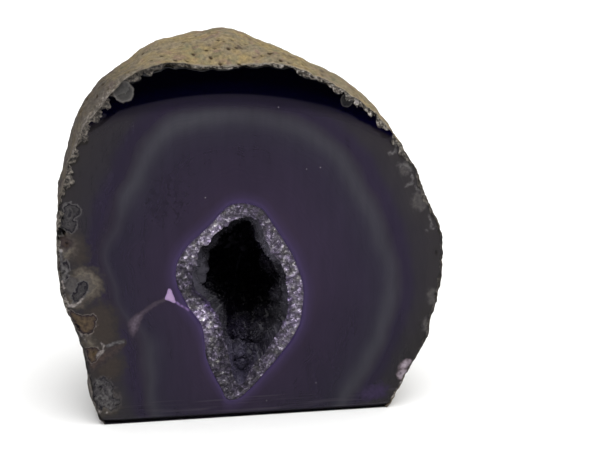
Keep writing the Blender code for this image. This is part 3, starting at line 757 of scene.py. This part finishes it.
# A cloud of specks as fine as dust, drawn a little coarser than they are
u, v, size = SPECKLED
flat_place = add("VectorMath", place, (1, 1, 0), operation="MULTIPLY")
away = add("VectorMath", flat_place, (u, v, 0), operation="DISTANCE").outputs["Value"]
speckled = add("MapRange", away, size, size * 0.3, interpolation_type="SMOOTHSTEP")
specks = spots(add, place, 1.7, 0.52, 0.66, 1, 0.55, Detail=2.5)
body = add("Mix", speckled, body, specks, blend_type="MULTIPLY")
# The ground foot: scratched along, with painted highlight lines along the top edge of its strip and just above the
# bevel that it stands on
height = add("SeparateXYZ", place).outputs["Y"]
along = add("VectorMath", place, (0.06, 1.6, 1), operation="MULTIPLY")
scratches = spots(add, along, 1, 0.5, 0.7, 0, 0.55, Detail=3)
ground_strip_and_highlights = add("ValToRGB", add("MapRange", height, -1.5, 6), stops=(
    (0, 0), (0.18, 0.3), (0.22, 1), (0.72, 0.35), (0.82, 1), (0.9, 0),
))
ground_strip_and_highlights = add("Math", ground_strip_and_highlights, scratches, operation="MULTIPLY")
body = add("Mix", ground_strip_and_highlights, body, "#454048")
# Painted shade: the bevel under the foot is darkened almost to black, where it faces the table
painted_foot_shade = add("MapRange", height, 0.05, -0.2, 0, 0.9, interpolation_type="SMOOTHSTEP")
body = add("Mix", painted_foot_shade, body, "#0b0a0c")
# Moss eyes, clouds and veins near the rim. A fine wobble keeps their outlines from being drawn with a compass
wobble = spots(add, place, 1.6, 0.25, 0.75, -0.5, 0.5, Detail=2)
mottle = spots(add, place, 0.9, 0.3, 0.7, 0.35, 1.65, Detail=2.5, Roughness=0.6)
for name, _, strength, edge, reach_in, mottling, colours in MARKINGS:
    wobbled = add("Math", wobble, strength, field[name], operation="MULTIPLY_ADD")
    inside = add("MapRange", wobbled, -edge, edge * 0.1, interpolation_type="SMOOTHSTEP")
    across = add("MapRange", wobbled, -edge, reach_in)
    colour = add("ValToRGB", across, stops=colours)
    colour = add("Mix", mottling, colour, mottle, blend_type="MULTIPLY")
    body = add("Mix", inside, body, colour)
# The break along the rim is the stone's first layer, chalky, not polished, white above and brown lower down
chalk = spots(add, place, 0.9, 0.36, 0.68, 0, 1.15, Detail=3, Roughness=0.75)
chalk = add("Math", chalk, field["chalk"], operation="MULTIPLY")
chalk = add("ValToRGB", chalk, stops=(
    (0, "#161413"), (0.15, "#2b2725"), (0.35, "#57514a"), (0.55, "#7a7369"), (0.75, "#a39c94"), (1, "#d8d3ce"),
))
break_edge = add("Math", wobble, 0.5, field["broken"], operation="MULTIPLY_ADD")
in_break = add("MapRange", break_edge, 0.3, 0.7, 0, 0.95, interpolation_type="SMOOTHSTEP")
body = add("Mix", in_break, body, chalk)
# Discs and specks, each by its distance from its own middle
for number, (u, v, size) in enumerate(PALE_DISCS + TINY_SPECKS):
    away = add("VectorMath", flat_place, (u, v, 0), operation="DISTANCE").outputs["Value"]
    share = add("Math", away, size, operation="DIVIDE")
    if number < len(PALE_DISCS):
        share = add("Math", wobble, 0.16, share, operation="MULTIPLY_ADD")
        mask = add("MapRange", share, 1.08, 0.9, 0, DISC_STRENGTHS[number], interpolation_type="SMOOTHSTEP")
        colour = add("ValToRGB", share, stops=(
            (0, "#444340"), (0.6, "#3c3b3a"), (0.8, "#464443"), (0.93, "#5f5c5a"), (1, "#4a4746"),
        ))
        colour = add("Mix", 0.3, colour, mottle, blend_type="MULTIPLY")
        body = add("Mix", mask, body, colour)
    else:
        share = add("Math", wobble, 0.5, share, operation="MULTIPLY_ADD")
        mask = add("MapRange", share, 1.2, 0.4, 0, 0.5, interpolation_type="SMOOTHSTEP")
        body = add("Mix", mask, body, "#a8a3a4")
# Painted shade: the holes in the rim are darkened by how deep they are
painted_hole_shade = add("MapRange", field["hole"], 0.2, 0.7, 0, 0.95)
body = add("Mix", painted_hole_shade, body, "#0d0b0b")
matt = add("MapRange", in_break, 0, 0.9, 0.06, 0.7)
connect(shader, {"Base Color": body, "Roughness": matt, "IOR": 1.54})

# Weathered rind: chalcedony and clay, ochre and khaki with mauve stains, dusty matt, and darkened in its pits by
# painted shade
rough_rind, add, shader = new_material("weathered rind")
place = add("Attribute", attribute_name="cut").outputs["Vector"]
rim, pit, chalk = (add("Attribute", attribute_name=name).outputs["Fac"] for name in ("rim", "pit", "chalk"))
rind = "#766b56"
for number, (size, low, high, amount, colour) in enumerate((
    (9, 0.5, 0.62, 0.6, "#89784f"), (5, 0.5, 0.64, 0.55, "#806e48"), (4, 0.52, 0.66, 0.6, "#5e5e4a"),
    (3.2, 0.55, 0.66, 0.6, "#735b53"), (6, 0.6, 0.7, 0.75, "#4c3f39"), (2.2, 0.6, 0.72, 0.4, "#90846c"),
)):
    moved = add("VectorMath", place, (17 * number, 5, 0), operation="ADD")
    stain = spots(add, moved, size, low, high, 0, amount, Detail=3, Roughness=0.6)
    rind = add("Mix", stain, rind, colour)
grain = add("TexNoise", Vector=place, Scale=1 / 1.1, Detail=3, Roughness=0.7)
grain_tone = add("MapRange", grain, 0.34, 0.66, 0.6, 1.32)
rind = add("Mix", 1, rind, grain_tone, blend_type="MULTIPLY")
# Painted shade: darker down its left side and towards the base, where less light falls, and a little greyer there
sides = add("SeparateXYZ", place)
leftwards = add("MapRange", sides.outputs["X"], -23, -41, interpolation_type="SMOOTHSTEP")
downwards = add("MapRange", sides.outputs["Y"], 96, 40, 0, 0.8, interpolation_type="SMOOTHSTEP")
painted_side_shade = add("Math", leftwards, downwards, operation="MAXIMUM")
rind = add("Mix", painted_side_shade, rind, "#b5b8cc", blend_type="MULTIPLY")
flecks = spots(add, place, 1.9, 0.5, 0.64, 0, 0.55, Detail=3, Roughness=0.65)
flecks = add("Math", flecks, leftwards, operation="MULTIPLY")
rind = add("Mix", flecks, rind, "#3b332e")
# Painted shade down in the pits
painted_pit_shade = add("MapRange", pit, 0.15, 0.5, 0, 0.95)
rind = add("Mix", painted_pit_shade, rind, "#30220f")
# Its left shoulder has crumbled behind the cut, in greys
crumbs = add("TexNoise", Vector=place, Scale=1 / 1.3, Detail=3, Roughness=0.7)
crumbled = add("MapRange", rim, -6, -0.5, 0, 0.85)
crumbled = add("Math", crumbled, leftwards, operation="MULTIPLY")
crumb_colours = add("ValToRGB", crumbs, stops=(
    (0.36, "#2e2a28"), (0.45, "#4d4742"), (0.55, "#6f6862"), (0.64, "#a39d96"),
))
rind = add("Mix", crumbled, rind, crumb_colours)
by_rim = add("MapRange", rim, -1.2, -0.1, 0, 0.7)
by_rim = add("Math", by_rim, grain_tone, operation="MULTIPLY")
rim_colour = add("ValToRGB", chalk, stops=(
    (0, "#2a2625"), (0.3, "#48433d"), (0.6, "#6f695f"), (1, "#a8a29b"),
))
rind = add("Mix", by_rim, rind, rim_colour)
dust = add("Bump", Strength=0.6, Distance=0.2 * MM, Height=grain)
connect(shader, {"Base Color": rind, "Roughness": 0.85, "IOR": 1.5, "Normal": dust})

# Sawn base: agate left from the saw, dull and grey, with the faint arcs of the blade
sawn_base, add, shader = new_material("sawn agate")
place = add("Attribute", attribute_name="cut").outputs["Vector"]
arcs = add("TexWave", Vector=place, Scale=1 / 2, Distortion=1.5, wave_type="RINGS")
base_tone = add("ValToRGB", arcs, stops=((0, "#4b4749"), (1, "#575356")))
connect(shader, {"Base Color": base_tone, "Roughness": 0.55, "IOR": 1.54})
for material in (polished_agate, rough_rind, sawn_base):
    stone_mesh.materials.append(material)
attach(stone, "root")
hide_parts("stone")


# The quartz crust: crystals that grew inwards on the wall of the hollow. The saw cut them across at the face, and
# there they are a sugary ring, polished with the agate. Inside they are lumpy, pointed, dyed dark violet, and painted
# almost black as shade deeper in the hollow.
CRUST_EDGE = (
    (13, 37.5), (12.1, 40.7), (11.1, 44.4), (9.6, 47.4), (7.9, 51.3), (6, 54.6), (5, 58.6),
    (2.8, 59.9), (-2, 60), (-4.6, 58.7), (-7.2, 56.6), (-9.9, 54.1), (-12.9, 51.2), (-13.6, 49.3),
    (-14.3, 46.7), (-15.1, 43.1), (-14.6, 39.4), (-12.5, 37.4), (-10.3, 35), (-8.5, 31),
    (-7.1, 27.4), (-5.9, 21.5), (-4.8, 16.1), (-3.7, 11), (-2.2, 8.3), (-0.4, 10.6), (1.9, 14),
    (4.6, 17.4), (7.3, 21.5), (10, 25.3), (11.9, 29.1), (13.1, 32.9),
)
CRUST_DEPTH = 35.0
CRUST_POLE = np.array((2.0, 41.0))
# The middle of the open hollow lies this deep
MIDDLE_DEPTH = 8.0
# Its knobs: (height, width). They grow up to full height over the first few mm, and reach no further than a share of
# the way to the middle of the hollow
CRUST_KNOBS = ((3.4, 8), (1.3, 3.4))
KNOBS_START = 3.0
KNOB_REACH = 0.18
EDGE_NICKS = ((1.1, 4), (0.6, 1.6), (0.3, 0.7))
CRUST_SIDES = 320
RING_STEPS = 10
WALL_STEPS = 60
BACK_STEPS = 5
# Gaps between the crust and the stone, at the face and at the hollow's pole
SIDE_GAP = 0.04
BACK_GAP = 0.4
TIP_GAP = 2.6
CRYSTALS = 4300
CRYSTAL_SEED = 7
# A crystal's greatest tilt, its half width in mm and what it has more from DEEP_FROM mm behind the face inwards, and
# the lengths of its sides and of its point, as shares of its half width
CRYSTAL_TILT = 0.35
CRYSTAL_WIDTH = (0.22, 0.42)
DEEP_WIDTH = (0.0, 0.2)
DEEP_FROM = 8.0
SIDE_LENGTH = (0.4, 0.8)
POINT_LENGTH = (0.9, 1.4)
# Lumps that stand out from the wall of the hollow: (u, v, depth, radius). Those at less than SMOOTH_UNTIL mm behind
# the face carry no crystals, and on the others they are denser than on the wall
SMOOTH_UNTIL = 5.0
BOSS_CRYSTALS = 2.5
BOSSES = (
    (-12.2, 51.2, 4.8, 3), (-12.9, 48.2, 4.8, 3.3), (-13.3, 45, 4.8, 3.4), (-13.6, 41.8, 4.8, 2.9),
    (-1.6, 17.6, 7, 2.8), (-0.6, 13.6, 6.6, 2.3), (6.8, 57, 4.5, 3.2),
    (7.6, 53.6, 5, 3.4), (9.2, 50, 5.4, 2.8), (10.4, 43.4, 12, 4), (11.9, 34.4, 8, 3.4),
    (11.2, 29.8, 7, 3.2), (0.6, 22, 13, 5), (5.5, 22.5, 9, 4), (2.2, 16.2, 8, 3.4),
    (8, 25.5, 12, 4.5), (-11.6, 32.3, 4.4, 2.2), (-10.2, 27.8, 4.2, 2.2), (-8.8, 23.4, 3.9, 2),
    (-7.4, 18.8, 3.4, 1.9), (-5.9, 14.4, 3, 1.8),
)
# The quartz by direction from the hub: (degrees, how bright the sawn ring is, how much dye its inner half has taken
# up, how much painted light the crystals inside get)
CRUST_TONES = (
    (-180, 0.68, 0.9, 0.5), (-170, 0.8, 1.2, 0.3), (-160, 1.9, 1.3, 0.3), (-150, 3, 1.1, 0.3),
    (-140, 1.8, 0.8, 0.3), (-130, 1.5, 0.7, 0.25), (-120, 0.78, 0.6, 0.3), (-110, 0.62, 0.6, 0.5),
    (-100, 0.55, 0.3, 0.9), (-90, 0.74, 0.4, 0.9), (-80, 0.72, 0.4, 0.5), (-70, 1.05, 0.6, 0.35),
    (-60, 0.85, 0.6, 0.35), (-50, 1.45, 0.5, 0.35), (-40, 1.5, 0.7, 0.35), (-30, 1.75, 0.8, 0.35),
    (-20, 1.6, 0.7, 0.45), (-10, 1.9, 0.9, 0.5), (0, 1.55, 0.4, 0.4), (10, 1.6, 0.3, 0.3), (20, 1.25, 0.1, 0.35),
    (30, 1.15, 0, 0.4), (40, 1.35, 0, 1.1), (50, 1.15, 0, 1.5), (60, 1.55, 0.1, 1.6), (70, 0.8, 0.5, 1.1),
    (80, 0.94, 0.5, 0.5), (90, 0.98, 0.4, 0.15), (100, 1.3, 0, 0.1), (110, 2.6, 0, 0.1), (120, 2.2, 0.2, 0.12),
    (130, 1.5, 0.1, 0.2), (140, 1.5, 0.2, 0.5), (150, 0.82, 0.6, 0.75), (160, 0.72, 0.7, 0.8),
    (170, 0.42, 0.8, 0.75), (180, 0.68, 0.9, 0.5),
)

rng = random.Random(CRYSTAL_SEED)
crust_angles = np.arange(CRUST_SIDES) * 2 * math.pi / CRUST_SIDES
outer = reach(HOLLOW, crust_angles, SIDE_GAP)
edge = reach(CRUST_EDGE, crust_angles)
edge += rises([Vector((*flat, 3.0)) for flat in on_rays(crust_angles, edge)], EDGE_NICKS)
crust_rings = [bowl_ring(crust_angles, step * math.pi / 2, outer, HOLLOW_DEPTH - BACK_GAP, HOLLOW_POLE)
               for step in np.linspace(0.85, 0.15, BACK_STEPS)]
for step in np.linspace(0.0, 1.0, RING_STEPS):
    flat = on_rays(crust_angles, outer + (edge - outer) * step)
    crust_rings.append(np.column_stack((flat, face_depth(flat, math.inf))))
for number in range(1, WALL_STEPS):
    lumpy = []
    for place in bowl_ring(crust_angles, number / WALL_STEPS * math.pi / 2, edge, CRUST_DEPTH, CRUST_POLE):
        point = Vector(place)
        inward = Vector((CRUST_POLE[0] - point.x, CRUST_POLE[1] - point.y, -0.4 * point.z))
        knob = sum(height * max(0.0, 1 - noise.voronoi(point / width)[0][0]) for height, width in CRUST_KNOBS)
        knob *= float(smooth_step(point.z / KNOBS_START + 0.1))
        lumpy.append(point + inward.normalized() * min(knob, KNOB_REACH * inward.length))
    crust_rings.append(np.array(lumpy))
crust_points = np.vstack(
    crust_rings + [[(*HOLLOW_POLE, HOLLOW_DEPTH - BACK_GAP)], [(*CRUST_POLE, CRUST_DEPTH - TIP_GAP)]]
)


def facing(corners, towards):
    """The normals of faces, as long as twice their areas, on the side that looks in these directions."""
    normals = np.cross(corners[:, -2] - corners[:, 0], corners[:, -1] - corners[:, -3])
    return normals * np.sign((normals * towards).sum(axis=1))[:, None]


SAWN, GROWN = 0, 1
crust_faces = []
for low in range(0, (len(crust_rings) - 1) * CRUST_SIDES, CRUST_SIDES):
    crust_faces += bridge(low + CRUST_SIDES, low, CRUST_SIDES)
wall_quads = np.array(crust_faces[-(WALL_STEPS - 1) * CRUST_SIDES:])
crust_slots = [SAWN] * (len(crust_faces) - len(wall_quads)) + [GROWN] * len(wall_quads)
crust_faces += close_up(0, len(crust_points) - 2, CRUST_SIDES)
crust_faces += close_up((len(crust_rings) - 1) * CRUST_SIDES, len(crust_points) - 1, CRUST_SIDES)
crust_slots += [SAWN] * CRUST_SIDES + [GROWN] * CRUST_SIDES
# Each crystal has a brightness of its own, from 0 to 1, and the wall and its lumps have the one in the middle
tones = [0.5] * len(crust_points)
steps_across = [0.0] * BACK_STEPS + list(np.linspace(0.0, 1.0, RING_STEPS)) + [1.0] * (WALL_STEPS - 1)
ring_across = np.concatenate((np.repeat(steps_across, CRUST_SIDES), (0.0, 1.0)))

# The lumps: balls with knobbly surfaces, sunk halfway into the wall
shape = bmesh.new()
bmesh.ops.create_icosphere(shape, subdivisions=4, radius=1.0)
shape.verts.ensure_lookup_table()
ball_points = [corner.co.copy() for corner in shape.verts]
ball_faces = np.array([[corner.index for corner in face.verts] for face in shape.faces])
shape.free()
corners = crust_points[wall_quads]
centres = corners.mean(axis=1)
normals = facing(corners, (*CRUST_POLE, MIDDLE_DEPTH) - centres)
for u, v, depth, size in BOSSES:
    middle = Vector((u, v, depth))
    ball = []
    for point in ball_points:
        place = middle + point * size
        rise = 0.12 * size * noise.noise(place / 2.2) + 0.25 * (0.5 - noise.voronoi(place / 2.6)[0][0])
        ball.append(place + point * rise)
    ball = np.array(ball)
    first = len(crust_points)
    crust_points = np.vstack((crust_points, ball))
    tones += [0.5] * len(ball)
    crust_faces += (ball_faces + first).tolist()
    crust_slots += [GROWN] * len(ball_faces)
    corners = ball[ball_faces]
    outwards = corners.mean(axis=1) - np.array(middle)
    if depth < SMOOTH_UNTIL:
        continue
    # Only the side that shows, towards the middle of the hollow and towards the front, carries crystals
    to_void = np.array((CRUST_POLE[0] - u, CRUST_POLE[1] - v, -4.0))
    shown = outwards @ (to_void / np.linalg.norm(to_void)) > -0.2 * size
    centres = np.vstack((centres, corners.mean(axis=1)[shown]))
    normals = np.vstack((normals, BOSS_CRYSTALS * facing(corners, outwards)[shown]))

# Each crystal is a six-sided prism with a six-sided point, rooted in the wall or a lump
areas = np.linalg.norm(normals, axis=1) / 2
normals /= 2 * areas[:, None]
chosen = rng.choices(range(len(centres)), weights=areas.tolist(), k=CRYSTALS)
crystal_points = []
for number in chosen:
    root, axis = Vector(centres[number]), Vector(normals[number])
    tilt = Vector(rng.uniform(-CRYSTAL_TILT, CRYSTAL_TILT) for _ in range(3))
    axis = (axis + tilt).normalized()
    deep = min(1.0, root.z / DEEP_FROM)
    size = rng.uniform(*CRYSTAL_WIDTH) + deep * rng.uniform(*DEEP_WIDTH)
    length = size * rng.uniform(*SIDE_LENGTH)
    point_length = size * rng.uniform(*POINT_LENGTH)
    across = axis.orthogonal().normalized()
    across.rotate(Matrix.Rotation(rng.uniform(0, math.pi), 3, axis))
    beside = axis.cross(across)
    tone = rng.random()
    tip = root + axis * (length * 0.6 + point_length)
    if tip.z < 0.3:
        continue
    first = len(crust_points) + len(crystal_points)
    for along, spread in ((-0.4 * length, 0.9), (0.6 * length, 1.0)):
        for corner in range(6):
            turn = corner * math.pi / 3
            crystal_points.append(
                root + axis * along + (across * math.cos(turn) + beside * math.sin(turn)) * size * spread
            )
    crystal_points.append(tip)
    tones += [tone] * 13
    crust_faces += bridge(first, first + 6, 6) + close_up(first + 6, first + 12, 6)
    crust_faces.append(tuple(range(first + 5, first - 1, -1)))
    crust_slots += [GROWN] * 13
crust_points = np.vstack((crust_points, np.array(crystal_points)))
around = np.arctan2(crust_points[:, 1] - HUB[1], crust_points[:, 0] - HUB[0])
bright, inner_dye, lit = (by_angle(CRUST_TONES, column, around) for column in (1, 2, 3))
dyed = np.ones(len(crust_points))
dyed[:len(ring_across)] = (
    smooth_step((ring_across - 0.45) / 0.5) * inner_dye[:len(ring_across)] + 0.6 * smooth_step(1 - ring_across / 0.1)
)
crust_mesh = make_mesh("quartz crust", crust_points, crust_faces, crust_slots, {
    "tone": np.array(tones), "bright": bright, "dyed": dyed, "lit": lit,
})
shape = bmesh.new()
shape.from_mesh(crust_mesh)
bmesh.ops.recalc_face_normals(shape, faces=shape.faces[:])
shape.to_mesh(crust_mesh)
shape.free()
crust = put_in_scene("quartz_lining", crust_mesh)

# Sawn quartz: milky grains cut across, and the brightest of them are painted glints
sugary_quartz, add, shader = new_material("sawn sugary quartz")
place = add("Attribute", attribute_name="cut").outputs["Vector"]
bent = add("TexNoise", Vector=place, Scale=1 / 0.8, Detail=2)
bent = add("VectorMath", bent.outputs["Color"], (1.1, 1.1, 1.1), place, operation="MULTIPLY_ADD")
grains = add("TexVoronoi", Vector=bent, Scale=1 / 0.6)
random_grain = add("SeparateColor", grains.outputs["Color"])
bright = spots(add, place, 1.6, 0.3, 0.7, -0.3, 0.5, Detail=4, Roughness=0.65)
bright = add("Math", random_grain, 0.6, bright, operation="MULTIPLY_ADD")
# Painted glints: the top of this ramp makes the brightest grains near white
grain_colours = add("ValToRGB", bright, stops=(
    (0, "#2a262e"), (0.3, "#403b45"), (0.55, "#5b5661"), (0.8, "#8d8794"), (1, "#e6e0ea"),
))
ring_tone = add("Attribute", attribute_name="bright").outputs["Fac"]
grain_colours = add("Mix", 1, grain_colours, ring_tone, blend_type="MULTIPLY")
# Clear grains let the stone show, in olive and lilac greys, and the dye has run in along both of the ring's edges
tints = add("TexNoise", Vector=place, Scale=1 / 2.2, Detail=2)
tints = add("ValToRGB", tints, stops=((0.36, (0.86, 0.9, 0.74, 1)), (0.48, 1), (0.62, (0.98, 0.9, 1.08, 1))))
grain_colours = add("Mix", 1, grain_colours, tints, blend_type="MULTIPLY")
dyed = add("Attribute", attribute_name="dyed").outputs["Fac"]
grain_colours = add("Mix", dyed, grain_colours, (0.21, 0.16, 0.31, 1), blend_type="MULTIPLY")
facets = add("Bump", Strength=0.8, Distance=0.3 * MM, Height=grains.outputs["Distance"])
connect(shader, {"Base Color": grain_colours, "Roughness": 0.3, "IOR": 1.544, "Normal": facets})

# Quartz crystals: glassy and partly clear, grey by the face, dyed dark violet further in, and painted darker with depth
# as shade of the hollow
druse_quartz, add, shader = new_material("quartz crystals")
place = add("Attribute", attribute_name="cut").outputs["Vector"]
tone = add("Attribute", attribute_name="tone").outputs["Fac"]
parts = add("SeparateXYZ", place)
# Painted light: low down in the hollow, where light from above gets in, the crystals are painted lighter, so the dyed
# ones show further in
low = add("MapRange", parts.outputs["Y"], 30, 15, 0, 4, interpolation_type="SMOOTHSTEP")
deep = add("Math", parts.outputs["Z"], low, operation="SUBTRACT")
inwards = add("MapRange", deep, -6, 24)
dye_and_depth_shade = add("ValToRGB", inwards, stops=(
    (0, "#433e4b"), (0.2, "#4e4b57"), (0.3, "#48464f"), (0.37, "#393641"), (0.45, "#221e2d"), (0.58, "#0d0918"),
    (1, "#05030f"),
))
dyed = add("Math", low, 0.14, operation="MULTIPLY")
dye_and_depth_shade = add("Mix", dyed, dye_and_depth_shade, "#413b56")
mottle = spots(add, place, 2.4, 0.3, 0.7, 0.55, 1.45, Detail=3, Roughness=0.6)
dye_and_depth_shade = add("Mix", 1, dye_and_depth_shade, mottle, blend_type="MULTIPLY")
tone = add("MapRange", tone, 0, 1, 0.88, 1.12)
# Painted light: each crystal's tone is scaled by how much light its direction round the hollow is painted as getting
tone = add("Math", tone, add("Attribute", attribute_name="lit").outputs["Fac"], operation="MULTIPLY")
crystal_colour = add("Mix", 1, dye_and_depth_shade, tone, blend_type="MULTIPLY")
connect(shader, {"Base Color": crystal_colour, "Roughness": 0.42, "IOR": 1.544, "Transmission Weight": 0.25})
for material in (sugary_quartz, druse_quartz):
    crust_mesh.materials.append(material)
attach(crust, "root")
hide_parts("quartz_crust")
